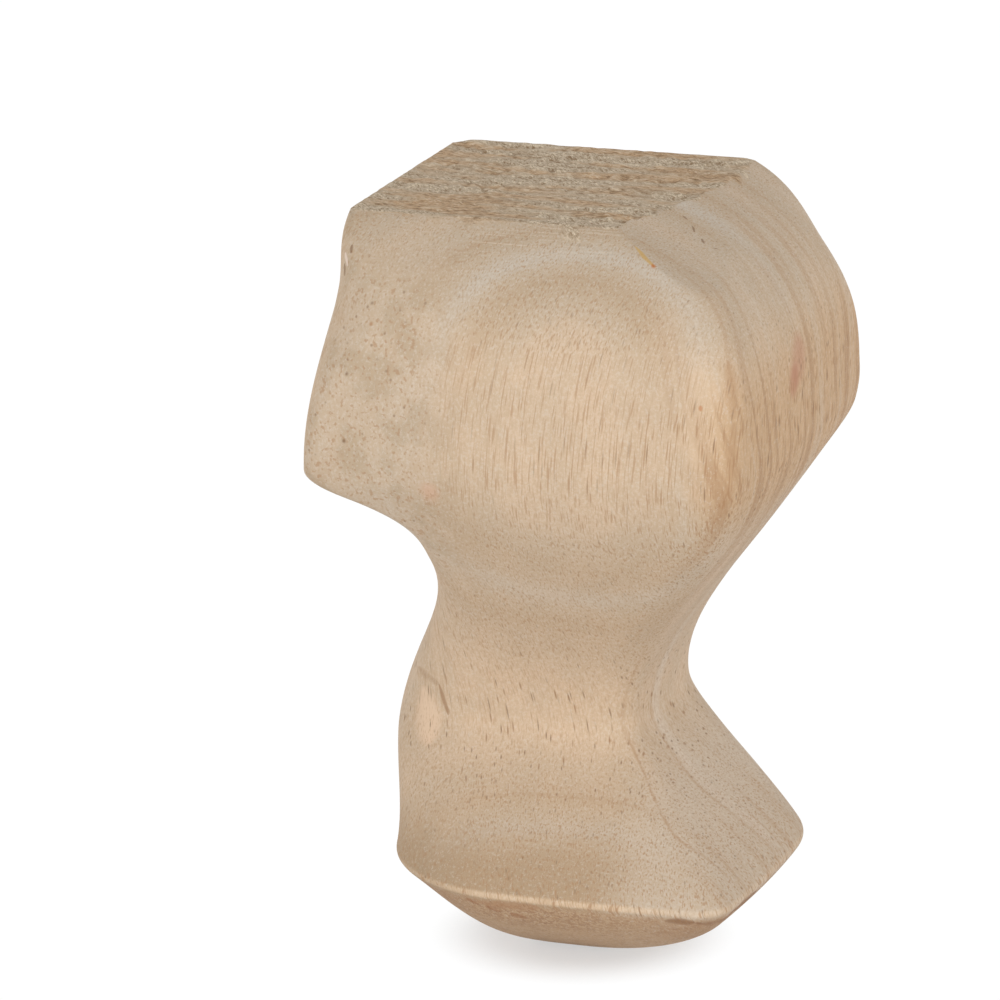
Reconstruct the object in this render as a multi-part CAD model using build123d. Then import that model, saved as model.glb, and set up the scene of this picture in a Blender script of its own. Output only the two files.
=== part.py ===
"""A short carved wooden furniture leg: a square post, a swelling knee with two
drooping wings, a slim ankle and a pad foot that rolls under to a small sole.

The leg is the same on both sides of its diagonal. Every level cut through it is a
square with rounded corners: two outer sides face +X and -Y, bowed a little, and two
flat inner sides face -X and +Y. Each profile below says how one measure of that cut,
such as how far the outer sides stand from the post's axis, changes with height. It is
a smooth curve through knots, and a knot is a height, the measure there and its slope.
One loft through closely spaced level cuts makes the leg.

Units are millimetres. The origin is the middle of the sole, on the ground, and +Z is up.
"""
from build123d import *
import math
import os

# Post and overall height
HEIGHT = 100.0
POST_WIDTH = 41.2

# Knee: the outer sides swell out of the post at a slope and are proudest at the knee
SHOULDER_SLOPE = 1.95
KNEE_HEIGHT = 73.3
KNEE_REACH = 34.7

# Wings: below the post the inner sides lean out to a rounded tip over a hollow underside
WING_START_HEIGHT = 88.9
WING_START_ROUNDING = 1.2
WING_TIP_HEIGHT = 67.0
WING_TIP_REACH = 23.2
WING_TIP_ROUNDING = 1.6
WING_UNDER_SLOPE = 2.8

# Notch: the hollow behind the knee, under the wings
NOTCH_HEIGHT = 55.4
NOTCH_REACH = 9.9

# Ankle and heel: the slimmest place in front, and the swell behind it
ANKLE_HEIGHT = 32.6
ANKLE_REACH = 13.7
HEEL_HEIGHT = 28.7
HEEL_REACH = 20.8

# Lip of the pad foot, and the slopes of the front sides just above and below it
LIP_HEIGHT = 14.5
LIP_REACH = 32.3
LIP_BACK_REACH = 17.0
LIP_ROUNDING = 0.8
LIP_SLOPE = 0.75
LIP_UNDER_SLOPE = 0.6

# Sole: a small flat square, set forward of the post's axis, and the slope of the underside beside it
SOLE_WIDTH = 10.0
SOLE_FORWARD = 4.5
SOLE_SLOPE = 2.55

# Corner radius of the level cuts at the front arris
TOP_ARRIS = 6.0
KNEE_ARRIS = 5.5
ANKLE_ARRIS = 4.0
LIP_ARRIS = 5.0
SOLE_ARRIS = 3.0

# Corner radius at the two side edges
TOP_EDGE = 1.5
SHOULDER_HEIGHT = 90.8
SHOULDER_EDGE = 9.3
WING_EDGE = 2.7
ANKLE_EDGE = 12.8
LIP_EDGE = 18.8
SOLE_EDGE = 3.0

# Corner radius at the back edge
TOP_BACK = 1.5
NOTCH_BACK = 4.0
LIP_BACK = 9.0
SOLE_BACK = 3.0

# How far the middle of each outer side bows out past its corners
TOP_CROWN = 0.1
KNEE_CROWN = 1.6
FOOT_CROWN = 1.4
SOLE_CROWN = 0.1

# Narrow bevels where the saw cuts meet the sides
TOP_EASE = 0.6
SOLE_EASE = 0.6

# Level cuts of the loft: the widest space between two, and the fewest spaces from knot to knot
CUT_SPACING = 1.6
FEWEST_SPACES = 4

# Handles of a cubic curve that turns a round corner, as a share of the corner's radius
ROUND = 0.5523

POST_REACH = POST_WIDTH / 2
SOLE_OUTER = SOLE_FORWARD + SOLE_WIDTH / 2
SOLE_INNER = SOLE_WIDTH / 2 - SOLE_FORWARD
WING_LEAN = (WING_TIP_REACH - POST_REACH) / (WING_START_HEIGHT - WING_TIP_HEIGHT)
BACK_SLOPE = (LIP_BACK_REACH - SOLE_INNER) / LIP_HEIGHT


def rounded_turn(height, reach, slope_below, slope_above, rounding):
    """Two knots that round off the turn where a profile would change slope sharply."""
    return [
        (height - rounding, reach - slope_below * rounding, slope_below),
        (height + rounding, reach + slope_above * rounding, slope_above),
    ]


def level_knots(*stations):
    """Knots for (height, measure) stations where the measure is momentarily steady."""
    return [(height, measure, 0.0) for height, measure in stations]


OUTER_REACH = [
    (0.0, SOLE_OUTER, SOLE_SLOPE),
    *rounded_turn(LIP_HEIGHT, LIP_REACH, LIP_UNDER_SLOPE, -LIP_SLOPE, LIP_ROUNDING),
    *level_knots((ANKLE_HEIGHT, ANKLE_REACH), (KNEE_HEIGHT, KNEE_REACH)),
    (HEIGHT, POST_REACH, -SHOULDER_SLOPE),
]
INNER_REACH = [
    (0.0, SOLE_INNER, BACK_SLOPE),
    *rounded_turn(LIP_HEIGHT, LIP_BACK_REACH, BACK_SLOPE, 0.0, LIP_ROUNDING),
    *level_knots((HEEL_HEIGHT, HEEL_REACH), (NOTCH_HEIGHT, NOTCH_REACH)),
    *rounded_turn(WING_TIP_HEIGHT, WING_TIP_REACH, WING_UNDER_SLOPE, -WING_LEAN, WING_TIP_ROUNDING),
    *rounded_turn(WING_START_HEIGHT, POST_REACH, -WING_LEAN, 0.0, WING_START_ROUNDING),
    (HEIGHT, POST_REACH, 0.0),
]
ARRIS_RADIUS = level_knots(
    (0.0, SOLE_ARRIS), (LIP_HEIGHT, LIP_ARRIS), (ANKLE_HEIGHT, ANKLE_ARRIS),
    (KNEE_HEIGHT, KNEE_ARRIS), (HEIGHT, TOP_ARRIS))
EDGE_RADIUS = level_knots(
    (0.0, SOLE_EDGE), (LIP_HEIGHT, LIP_EDGE), (ANKLE_HEIGHT, ANKLE_EDGE),
    (WING_TIP_HEIGHT, WING_EDGE), (KNEE_HEIGHT, WING_EDGE),
    (SHOULDER_HEIGHT, SHOULDER_EDGE), (HEIGHT, TOP_EDGE))
BACK_RADIUS = level_knots(
    (0.0, SOLE_BACK), (LIP_HEIGHT, LIP_BACK), (NOTCH_HEIGHT, NOTCH_BACK), (HEIGHT, TOP_BACK))
CROWN = level_knots(
    (0.0, SOLE_CROWN), (LIP_HEIGHT, FOOT_CROWN), (ANKLE_HEIGHT, FOOT_CROWN),
    (KNEE_HEIGHT, KNEE_CROWN), (HEIGHT, TOP_CROWN))


def along(profile, height):
    """A profile's measure at a height, on the cubic curve between the knots around it."""
    for (low, below, rise_below), (high, above, rise_above) in zip(profile, profile[1:]):
        if height <= high:
            break
    span = high - low
    t = (height - low) / span
    eased = below * (1 - t) ** 2 * (1 + 2 * t) + above * t**2 * (3 - 2 * t)
    return eased + span * (rise_below * t * (1 - t) ** 2 - rise_above * t**2 * (1 - t))


def twins(points):
    """The points' twins on the other side of the leg's diagonal plane, in the opposite order."""
    return [Vector(-point.Y, -point.X) for point in reversed(points)]


def level_cut(height, inset=0.0):
    """The leg's outline at a height, drawn in by an inset. Its outer sides are parabolas."""
    outer = along(OUTER_REACH, height) - inset
    inner = along(INNER_REACH, height) - inset
    arris = along(ARRIS_RADIUS, height)
    edge = along(EDGE_RADIUS, height)
    back = along(BACK_RADIUS, height)
    bow = along(CROWN, height)
    half, middle = (outer + inner) / 2, (outer - inner) / 2

    def front(x):
        """A point of the front side, and the side's direction there."""
        across = (x - middle) / half
        return Vector(x, -outer - bow * (1 - across**2)), Vector(1, 2 * bow * across / half)

    edge_end, edge_way = front(edge - inner)
    arris_start, arris_way = front(outer - arris)
    edge_start = Vector(-inner, edge - outer)
    back_end = Vector(-inner, inner - back)

    left_side = [back_end, edge_start]
    edge_pull = ROUND * edge
    left_edge = [edge_start, edge_start - Vector(0, edge_pull), edge_end - edge_way * edge_pull, edge_end]
    front_side = [edge_end, edge_end + edge_way * ((arris_start.X - edge_end.X) / 2), arris_start]
    arris_half = [arris_start, arris_start + arris_way * (ROUND * arris)]
    back_half = [back_end + Vector(0, ROUND * back), back_end]
    outline = Wire([
        Line(*left_side),
        Bezier(*left_edge),
        Bezier(*front_side),
        Bezier(*arris_half, *twins(arris_half)),
        Bezier(*twins(front_side)),
        Bezier(*twins(left_edge)),
        Line(*twins(left_side)),
        Bezier(*twins(back_half), *back_half),
    ])
    return Pos(-SOLE_FORWARD, SOLE_FORWARD, height) * Face(outline)


def cut_heights():
    """Heights of the level cuts between the two bevels, with one at each knot of the reaches."""
    low, high = SOLE_EASE, HEIGHT - TOP_EASE
    marks = sorted({low, high, *(knot[0] for knot in OUTER_REACH + INNER_REACH if low < knot[0] < high)})
    heights = [low]
    for below, above in zip(marks, marks[1:]):
        spaces = max(FEWEST_SPACES, math.ceil((above - below) / CUT_SPACING))
        heights += [below + (above - below) * (i + 1) / spaces for i in range(spaces)]
    return heights


def carved_leg():
    sole = level_cut(0.0, inset=SOLE_EASE)
    top = level_cut(HEIGHT, inset=TOP_EASE)
    return loft([sole, *(level_cut(height) for height in cut_heights()), top], ruled=True)


os.makedirs("parts", exist_ok=True)
leg = carved_leg()
leg.label = "leg"
export_step(leg, "parts/leg.step")
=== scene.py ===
"""A short carved furniture leg of raw rubber wood, sanded on its sides and rough from the saw on top.

The skin is one closed surface: level cuts stacked from the sole to the top, uneven by a hair from
the carving, with torn saw ridges on the top. The wood is one set of growth layers and vessels in
space, so the rings, dashes and dots show wherever the carving happens to cut them.
"""
import math

import bpy
import numpy as np
from mathutils import Matrix, Vector


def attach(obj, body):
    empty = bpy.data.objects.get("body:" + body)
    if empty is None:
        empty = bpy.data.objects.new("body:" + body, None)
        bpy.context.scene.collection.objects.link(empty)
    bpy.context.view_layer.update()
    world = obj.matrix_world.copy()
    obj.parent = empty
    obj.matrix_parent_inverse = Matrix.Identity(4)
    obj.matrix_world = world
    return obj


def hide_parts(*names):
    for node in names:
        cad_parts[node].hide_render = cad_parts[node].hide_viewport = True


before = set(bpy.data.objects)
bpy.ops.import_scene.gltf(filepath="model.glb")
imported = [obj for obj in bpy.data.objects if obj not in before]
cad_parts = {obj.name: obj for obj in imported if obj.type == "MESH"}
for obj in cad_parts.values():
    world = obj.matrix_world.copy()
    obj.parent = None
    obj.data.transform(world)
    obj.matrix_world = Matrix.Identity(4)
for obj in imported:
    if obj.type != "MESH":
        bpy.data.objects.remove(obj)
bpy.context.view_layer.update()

MM = 0.001

# Post and overall height
HEIGHT = 100.0 * MM
POST_WIDTH = 41.2 * MM

# Knee: the outer sides swell out of the post at a slope and are proudest at the knee
SHOULDER_SLOPE = 1.95
KNEE_HEIGHT = 73.3 * MM
KNEE_REACH = 34.7 * MM

# Wings: below the post the inner sides lean out to a rounded tip over a hollow underside
WING_START_HEIGHT = 88.9 * MM
WING_START_ROUNDING = 1.2 * MM
WING_TIP_HEIGHT = 67.0 * MM
WING_TIP_REACH = 23.2 * MM
WING_TIP_ROUNDING = 1.6 * MM
WING_UNDER_SLOPE = 2.8

# Notch: the hollow behind the knee, under the wings
NOTCH_HEIGHT = 55.4 * MM
NOTCH_REACH = 9.9 * MM

# Ankle and heel: the slimmest place in front, and the swell behind it
ANKLE_HEIGHT = 32.6 * MM
ANKLE_REACH = 13.7 * MM
HEEL_HEIGHT = 28.7 * MM
HEEL_REACH = 20.8 * MM

# Lip of the pad foot, and the slopes of the front sides just above and below it
LIP_HEIGHT = 14.5 * MM
LIP_REACH = 32.3 * MM
LIP_BACK_REACH = 17.0 * MM
LIP_ROUNDING = 0.6 * MM
LIP_SLOPE = 0.75
LIP_UNDER_SLOPE = 0.6

# Sole: a small flat square, set forward of the post's axis, and the slope of the underside beside it
SOLE_WIDTH = 10.0 * MM
SOLE_FORWARD = 4.5 * MM
SOLE_SLOPE = 2.55

# Corner radius of the level cuts at the front arris
TOP_ARRIS = 4.5 * MM
KNEE_ARRIS = 3.6 * MM
ANKLE_ARRIS = 4.0 * MM
LIP_ARRIS = 3.6 * MM
SOLE_ARRIS = 3.0 * MM

# Corner radius at the two side edges
TOP_EDGE = 1.5 * MM
SHOULDER_HEIGHT = 90.8 * MM
SHOULDER_EDGE = 9.3 * MM
WING_EDGE = 2.7 * MM
ANKLE_EDGE = 12.8 * MM
LIP_EDGE = 18.8 * MM
SOLE_EDGE = 3.0 * MM

# Corner radius at the back edge
TOP_BACK = 3.0 * MM
NOTCH_BACK = 4.0 * MM
LIP_BACK = 9.0 * MM
SOLE_BACK = 3.0 * MM

# How far the middle of each outer side bows out past its corners
TOP_CROWN = 0.1 * MM
KNEE_CROWN = 1.6 * MM
FOOT_CROWN = 1.4 * MM
SOLE_CROWN = 0.1 * MM

# Narrow bevels where the saw cuts meet the sides
TOP_EASE = 0.25 * MM
SOLE_EASE = 0.6 * MM

# Noise on the skin below is given by the two sizes of its cells and the seed of its random values
LATTICE = 128

# Waves of the carver's hand on the sides: how deep, up the leg and round it, and the broad ones' share
CARVE_DEPTH = 0.12 * MM
BROAD_WAVE = (9.0 * MM, 1 / 3, 3)
FINE_WAVE = (3.5 * MM, 1 / 8, 5)
BROAD_SHARE = 0.7

# Torn top: how deep, its slanting rows and how they sway, its tufts, and how low they stay in smooth rows
TORN_DEPTH = 0.5 * MM
SAW_SLANT = 0.06
ROW_SWAY = 1.2 * MM
ROW_SWAY_CELL = (8.0 * MM, 4.0 * MM, 10)
ROW_CELL = (14.0 * MM, 2.2 * MM, 11)
ROW_CONTRAST = 3.0
TUFT_CELL = (0.8 * MM, 0.8 * MM, 12)
SMOOTH_ROW_TUFT = 0.25

# Rim of the top: the calmer border, what is left of the tearing there, and the fringes on the sides under it
RIM_CALM = 2.5 * MM
RIM_SHARE = 0.2
RIM_TORN = 2.0 * MM
FRINGE_CELL = (1.2 * MM, 6.0 * MM, 22)
FRINGE_STRENGTH = 1.3

# Front corner of the top: the ragged line where sanding took the torn wood off, and how it falls away
CORNER_LINE = ((10.4 * MM, -16.6 * MM), (15.6 * MM, 6.0 * MM))
CORNER_RAGGED = 1.6 * MM
CORNER_CELL = (2.2 * MM, 1.1 * MM, 21)
CORNER_BLEND = 0.8 * MM
CORNER_FALL = 0.4

# Fineness of the skin: points on each of the eight curves round a cut, the widest space between two
# cuts and the fewest spaces from knot to knot, and the rings on the caps
POINTS_PER_CURVE = 40
CUT_SPACING = 0.55 * MM
FEWEST_SPACES = 8
TOP_RINGS = 84
SOLE_RINGS = 6

# Camera: where it stands round the leg, and where the middle of the post lands in its square picture
CAMERA_AZIMUTH = math.radians(19.06)
CAMERA_ELEVATION = math.radians(16.72)
CAMERA_ROLL = math.radians(-0.68)
CAMERA_DISTANCE = 837.0 * MM
CAMERA_NEAREST = 50.0 * MM
PICTURE_WIDTH = 1000
FOCAL_PIXELS = 6417.9
POST_MIDDLE_PIXELS = (558.0, 556.3)
SENSOR_WIDTH = 36.0

# Handles of a cubic curve that turns a round corner, as a share of the corner's radius
ROUND = 0.5523

POST_REACH = POST_WIDTH / 2
SOLE_OUTER = SOLE_FORWARD + SOLE_WIDTH / 2
SOLE_INNER = SOLE_WIDTH / 2 - SOLE_FORWARD
WING_LEAN = (WING_TIP_REACH - POST_REACH) / (WING_START_HEIGHT - WING_TIP_HEIGHT)
BACK_SLOPE = (LIP_BACK_REACH - SOLE_INNER) / LIP_HEIGHT
POST_MIDDLE = Vector((-SOLE_FORWARD, SOLE_FORWARD, HEIGHT / 2))


# Shape of the leg

def rounded_turn(height, reach, slope_below, slope_above, rounding):
    """Two knots that round off the turn where a profile would change slope sharply."""
    return [
        (height - rounding, reach - slope_below * rounding, slope_below),
        (height + rounding, reach + slope_above * rounding, slope_above),
    ]


def level_knots(*stations):
    """Knots for (height, measure) stations where the measure is momentarily steady."""
    return [(height, measure, 0.0) for height, measure in stations]


OUTER_REACH = [
    (0.0, SOLE_OUTER, SOLE_SLOPE),
    *rounded_turn(LIP_HEIGHT, LIP_REACH, LIP_UNDER_SLOPE, -LIP_SLOPE, LIP_ROUNDING),
    *level_knots((ANKLE_HEIGHT, ANKLE_REACH), (KNEE_HEIGHT, KNEE_REACH)),
    (HEIGHT, POST_REACH, -SHOULDER_SLOPE),
]
INNER_REACH = [
    (0.0, SOLE_INNER, BACK_SLOPE),
    *rounded_turn(LIP_HEIGHT, LIP_BACK_REACH, BACK_SLOPE, 0.0, LIP_ROUNDING),
    *level_knots((HEEL_HEIGHT, HEEL_REACH), (NOTCH_HEIGHT, NOTCH_REACH)),
    *rounded_turn(WING_TIP_HEIGHT, WING_TIP_REACH, WING_UNDER_SLOPE, -WING_LEAN, WING_TIP_ROUNDING),
    *rounded_turn(WING_START_HEIGHT, POST_REACH, -WING_LEAN, 0.0, WING_START_ROUNDING),
    (HEIGHT, POST_REACH, 0.0),
]
ARRIS_RADIUS = level_knots(
    (0.0, SOLE_ARRIS), (LIP_HEIGHT, LIP_ARRIS), (ANKLE_HEIGHT, ANKLE_ARRIS),
    (KNEE_HEIGHT, KNEE_ARRIS), (HEIGHT, TOP_ARRIS))
EDGE_RADIUS = level_knots(
    (0.0, SOLE_EDGE), (LIP_HEIGHT, LIP_EDGE), (ANKLE_HEIGHT, ANKLE_EDGE),
    (WING_TIP_HEIGHT, WING_EDGE), (KNEE_HEIGHT, WING_EDGE),
    (SHOULDER_HEIGHT, SHOULDER_EDGE), (HEIGHT, TOP_EDGE))
BACK_RADIUS = level_knots(
    (0.0, SOLE_BACK), (LIP_HEIGHT, LIP_BACK), (NOTCH_HEIGHT, NOTCH_BACK), (HEIGHT, TOP_BACK))
CROWN = level_knots(
    (0.0, SOLE_CROWN), (LIP_HEIGHT, FOOT_CROWN), (ANKLE_HEIGHT, FOOT_CROWN),
    (KNEE_HEIGHT, KNEE_CROWN), (HEIGHT, TOP_CROWN))


def along(profile, heights):
    """A profile's measure at each height, on the cubic curve between the knots around it."""
    knots = np.array(profile)
    lower = np.clip(np.searchsorted(knots[:, 0], heights) - 1, 0, len(knots) - 2)
    low, below, rise_below = knots[lower].T
    high, above, rise_above = knots[lower + 1].T
    span = high - low
    t = (heights - low) / span
    eased = below * (1 - t) ** 2 * (1 + 2 * t) + above * t**2 * (3 - 2 * t)
    return eased + span * (rise_below * t * (1 - t) ** 2 - rise_above * t**2 * (1 - t))


def bezier(controls, t):
    """Points of the curve with these control points: each is weighed by C(n, i) t^i (1 - t)^(n - i)."""
    order = len(controls) - 1
    weights = [math.comb(order, i) * t**i * (1 - t) ** (order - i) for i in range(order + 1)]
    return sum(weight[None, :, None] * control[:, None, :] for weight, control in zip(weights, controls))


def level_cuts(heights, inset=0.0):
    """The leg's outline at each height, as an array of cuts by points by (x, y, z).

    A cut is a square with rounded corners, the same on both sides of the line x = -y. Its inner
    sides are straight, its outer sides parabolas, and its corners cubic curves.
    """
    outer = along(OUTER_REACH, heights) - inset
    inner = along(INNER_REACH, heights) - inset
    arris = along(ARRIS_RADIUS, heights)
    edge = along(EDGE_RADIUS, heights)
    back = along(BACK_RADIUS, heights)
    bow = along(CROWN, heights)
    half, middle = (outer + inner) / 2, (outer - inner) / 2

    def at(x, y):
        return np.stack(np.broadcast_arrays(x, y), axis=-1)

    def front(x):
        across = (x - middle) / half
        return at(x, -outer - bow * (1 - across**2)), at(1.0, 2 * bow * across / half)

    def twins(points):
        return [-point[:, ::-1] for point in reversed(points)]

    edge_end, edge_way = front(edge - inner)
    arris_start, arris_way = front(outer - arris)
    edge_start = at(-inner, edge - outer)
    back_end = at(-inner, inner - back)
    edge_pull = ROUND * edge
    half_front = (arris_start[:, :1] - edge_end[:, :1]) / 2

    left_side = [back_end, edge_start]
    edge_handles = [edge_start - at(0.0, edge_pull), edge_end - edge_way * edge_pull[:, None]]
    left_edge = [edge_start, *edge_handles, edge_end]
    front_side = [edge_end, edge_end + edge_way * half_front, arris_start]
    arris_half = [arris_start, arris_start + arris_way * (ROUND * arris)[:, None]]
    back_half = [back_end + at(0.0, ROUND * back), back_end]
    curves = [left_side, left_edge, front_side, arris_half + twins(arris_half)]
    curves += [twins(front_side), twins(left_edge), twins(left_side), twins(back_half) + back_half]

    t = np.arange(POINTS_PER_CURVE) / POINTS_PER_CURVE
    outline = np.concatenate([bezier(controls, t) for controls in curves], axis=1)
    outline += (-SOLE_FORWARD, SOLE_FORWARD)
    upright = np.broadcast_to(heights[:, None, None], outline.shape[:2] + (1,))
    return np.concatenate([outline, upright], axis=2)


def lattice_noise(u, v, cell):
    """Smooth noise from 0 to 1: seeded random values on a lattice of cells, eased between neighbours."""
    width, depth, seed = cell
    table = np.random.default_rng(seed).random((LATTICE, LATTICE))
    u, v = u / width, v / depth
    i, j = np.floor(u).astype(int), np.floor(v).astype(int)
    s, t = u - i, v - j
    s, t = s * s * (3 - 2 * s), t * t * (3 - 2 * t)
    i, j, next_i, next_j = i % LATTICE, j % LATTICE, (i + 1) % LATTICE, (j + 1) % LATTICE
    near = table[i, j] * (1 - s) + table[next_i, j] * s
    far = table[i, next_j] * (1 - s) + table[next_i, next_j] * s
    return near * (1 - t) + far * t


def wavered(points):
    """The sides, drawn in towards the post's axis by slow waves of the carver's hand.

    The depth is a weighed sum of broad and fine noise, over the height and the turn round the axis.
    """
    x, y, z = np.moveaxis(points - np.array(POST_MIDDLE), -1, 0)
    turn = np.abs(np.arctan2(y, x) - math.pi / 4)
    broad = lattice_noise(z, turn, BROAD_WAVE)
    fine = lattice_noise(z, turn, FINE_WAVE)
    depth = CARVE_DEPTH * (BROAD_SHARE * broad + (1 - BROAD_SHARE) * fine)
    inward = np.stack([-x, -y, np.zeros_like(z)], axis=-1) / np.hypot(x, y)[..., None]
    return points + inward * depth[..., None]


def past_corner_line(points):
    """How far each point lies past the line that parts the torn top from its sanded front corner."""
    start, end = np.array(CORNER_LINE)
    way = (end - start) / np.linalg.norm(end - start)
    return (points[..., :2] - start) @ np.array((way[1], -way[0]))


def torn_share(points):
    """How torn the top is: 1 on it, easing to 0 past a ragged corner line."""
    ragged = CORNER_RAGGED * (lattice_noise(points[..., 0], points[..., 1], CORNER_CELL) - 0.5)
    return np.clip(1 - (past_corner_line(points) + ragged) / CORNER_BLEND, 0.0, 1.0)


def torn_rim(points):
    """How torn the sides are under the rim: noise in fringes, less what a point lies below the top."""
    x, y, z = np.moveaxis(points, -1, 0)
    ragged = FRINGE_STRENGTH * lattice_noise(x + y, x - y, FRINGE_CELL)
    return np.clip(ragged - (HEIGHT - z) / RIM_TORN, 0.0, 1.0) * torn_share(points)


def tuft_height(points):
    """Height of the torn fibres, 0 to 1: noise in short tufts, full in the rows where the saw tore deep.

    The rows run from left to right, and are slow noise with its contrast raised.
    """
    x, y = points[..., 0], points[..., 1] + SAW_SLANT * points[..., 0]
    across = y + ROW_SWAY * lattice_noise(x, y, ROW_SWAY_CELL)
    rows = np.clip(ROW_CONTRAST * lattice_noise(x, across, ROW_CELL) - 1, 0.0, 1.0)
    tufts = lattice_noise(x, across, TUFT_CELL)
    return 0.5 + (SMOOTH_ROW_TUFT + (1 - SMOOTH_ROW_TUFT) * rows) * (tufts - 0.5)


def torn(points):
    """The top, torn down from its flat: each point is lowered by what its tuft lacks in height.

    Towards the rim, a space RIM_CALM wide, most of the tearing fades.
    """
    lowered = points.copy()
    from_axis = np.abs(points[..., :2] - np.array(POST_MIDDLE)[:2]).max(axis=-1)
    calm = RIM_SHARE + (1 - RIM_SHARE) * np.clip((POST_REACH - from_axis) / RIM_CALM, 0.0, 1.0)
    lowered[..., 2] -= TORN_DEPTH * calm * torn_share(points) * (1 - tuft_height(points))
    return lowered


def closed_skin(rings, first_pole, last_pole):
    """Vertices and faces of a tube of rings, closed at both ends by a fan to a pole, facing outwards."""
    cuts, around, _ = rings.shape
    vertices = np.concatenate([rings.reshape(-1, 3), [first_pole, last_pole]])
    index = np.arange(cuts * around).reshape(cuts, around)
    ahead = np.roll(index, -1, axis=1)
    quads = np.stack([index[:-1], ahead[:-1], ahead[1:], index[1:]], axis=-1).reshape(-1, 4)
    pole = cuts * around
    first_fan = np.stack([ahead[0], index[0], np.full(around, pole)], axis=-1)
    last_fan = np.stack([index[-1], ahead[-1], np.full(around, pole + 1)], axis=-1)
    return vertices, quads.tolist() + first_fan.tolist() + last_fan.tolist()


def cut_heights():
    """Heights of the side cuts between the two bevels, with one at each knot of the reaches."""
    low, high = SOLE_EASE, HEIGHT - TOP_EASE
    marks = sorted({low, high, *(knot[0] for knot in OUTER_REACH + INNER_REACH if low < knot[0] < high)})
    stretches = []
    for below, above in zip(marks, marks[1:]):
        spaces = max(FEWEST_SPACES, math.ceil((above - below) / CUT_SPACING))
        stretches.append(below + (above - below) * np.arange(spaces) / spaces)
    return np.append(np.concatenate(stretches), high)


def carved_leg():
    """The leg's skin: rings shrink to a pole on the sole and the top, and level cuts climb between them.

    Past the corner line the top and the sides are planed off: no point stands higher than a plane
    that falls away from the line. Four values go with each point: how torn it is, how high its tuft
    stands, how far it shows the ends of the upright grain, which is the size of its normal's z, and
    how far it faces the front.
    """
    axis = np.array((-SOLE_FORWARD, SOLE_FORWARD, HEIGHT))
    sole_rim = level_cuts(np.array([0.0]), inset=SOLE_EASE)
    top_rim = level_cuts(np.array([HEIGHT]), inset=TOP_EASE)
    sole_share = (np.arange(1, SOLE_RINGS) / SOLE_RINGS)[:, None, None]
    top_share = (np.arange(TOP_RINGS - 1, 0, -1) / TOP_RINGS)[:, None, None]
    sides = wavered(level_cuts(cut_heights()))
    flat_top = np.concatenate([top_rim, axis + top_share * (top_rim - axis)])
    rings = np.concatenate([sole_rim * sole_share, sole_rim, sides, torn(flat_top)])
    plane = HEIGHT - CORNER_FALL * np.maximum(past_corner_line(rings), 0.0)
    rings[..., 2] = np.minimum(rings[..., 2], plane)
    vertices, faces = closed_skin(rings, (0.0, 0.0, 0.0), torn(axis[None])[0])
    mesh = bpy.data.meshes.new("carved_leg")
    mesh.from_pydata(vertices.tolist(), [], faces)
    mesh.polygons.foreach_set("use_smooth", np.ones(len(faces), dtype=bool))

    torn_here = torn_rim(vertices)
    torn_here[-flat_top[..., 0].size - 2:-2] = torn_share(flat_top).ravel()
    torn_here[-1] = 1.0
    normals = np.empty(3 * len(vertices), dtype=np.float32)
    mesh.vertex_normals.foreach_get("vector", normals)
    values = {"torn": torn_here, "tuft": tuft_height(vertices)}
    values |= {"end_grain": np.abs(normals[2::3]), "facing_front": np.maximum(-normals[1::3], 0.0)}
    for name, value in values.items():
        mesh.attributes.new(name, "FLOAT", "POINT").data.foreach_set("value", value.astype(np.float32))
    leg = bpy.data.objects.new("carved_leg", mesh)
    bpy.context.scene.collection.objects.link(leg)
    return leg


# Shader maths

class Value:
    """A shader socket in an expression: each operator adds a Math node to the socket's tree."""

    def __init__(self, socket):
        self.socket = socket

    def math(self, operation, *terms):
        node = self.socket.id_data.nodes.new("ShaderNodeMath")
        node.operation = operation
        for entry, term in zip(node.inputs, terms):
            join(term, entry)
        return Value(node.outputs[0])

    def __add__(self, other):
        return self.math("ADD", self, other)

    def __radd__(self, other):
        return self.math("ADD", other, self)

    def __sub__(self, other):
        return self.math("SUBTRACT", self, other)

    def __rsub__(self, other):
        return self.math("SUBTRACT", other, self)

    def __mul__(self, other):
        return self.math("MULTIPLY", self, other)

    def __rmul__(self, other):
        return self.math("MULTIPLY", other, self)

    def __truediv__(self, other):
        return self.math("DIVIDE", self, other)

    def __rtruediv__(self, other):
        return self.math("DIVIDE", other, self)

    def __pow__(self, other):
        return self.math("POWER", self, other)

    def __abs__(self):
        return self.math("ABSOLUTE", self)


def join(term, entry):
    """A value or a number, put into a socket."""
    if isinstance(term, Value):
        entry.id_data.links.new(term.socket, entry)
    else:
        entry.default_value = term


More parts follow.
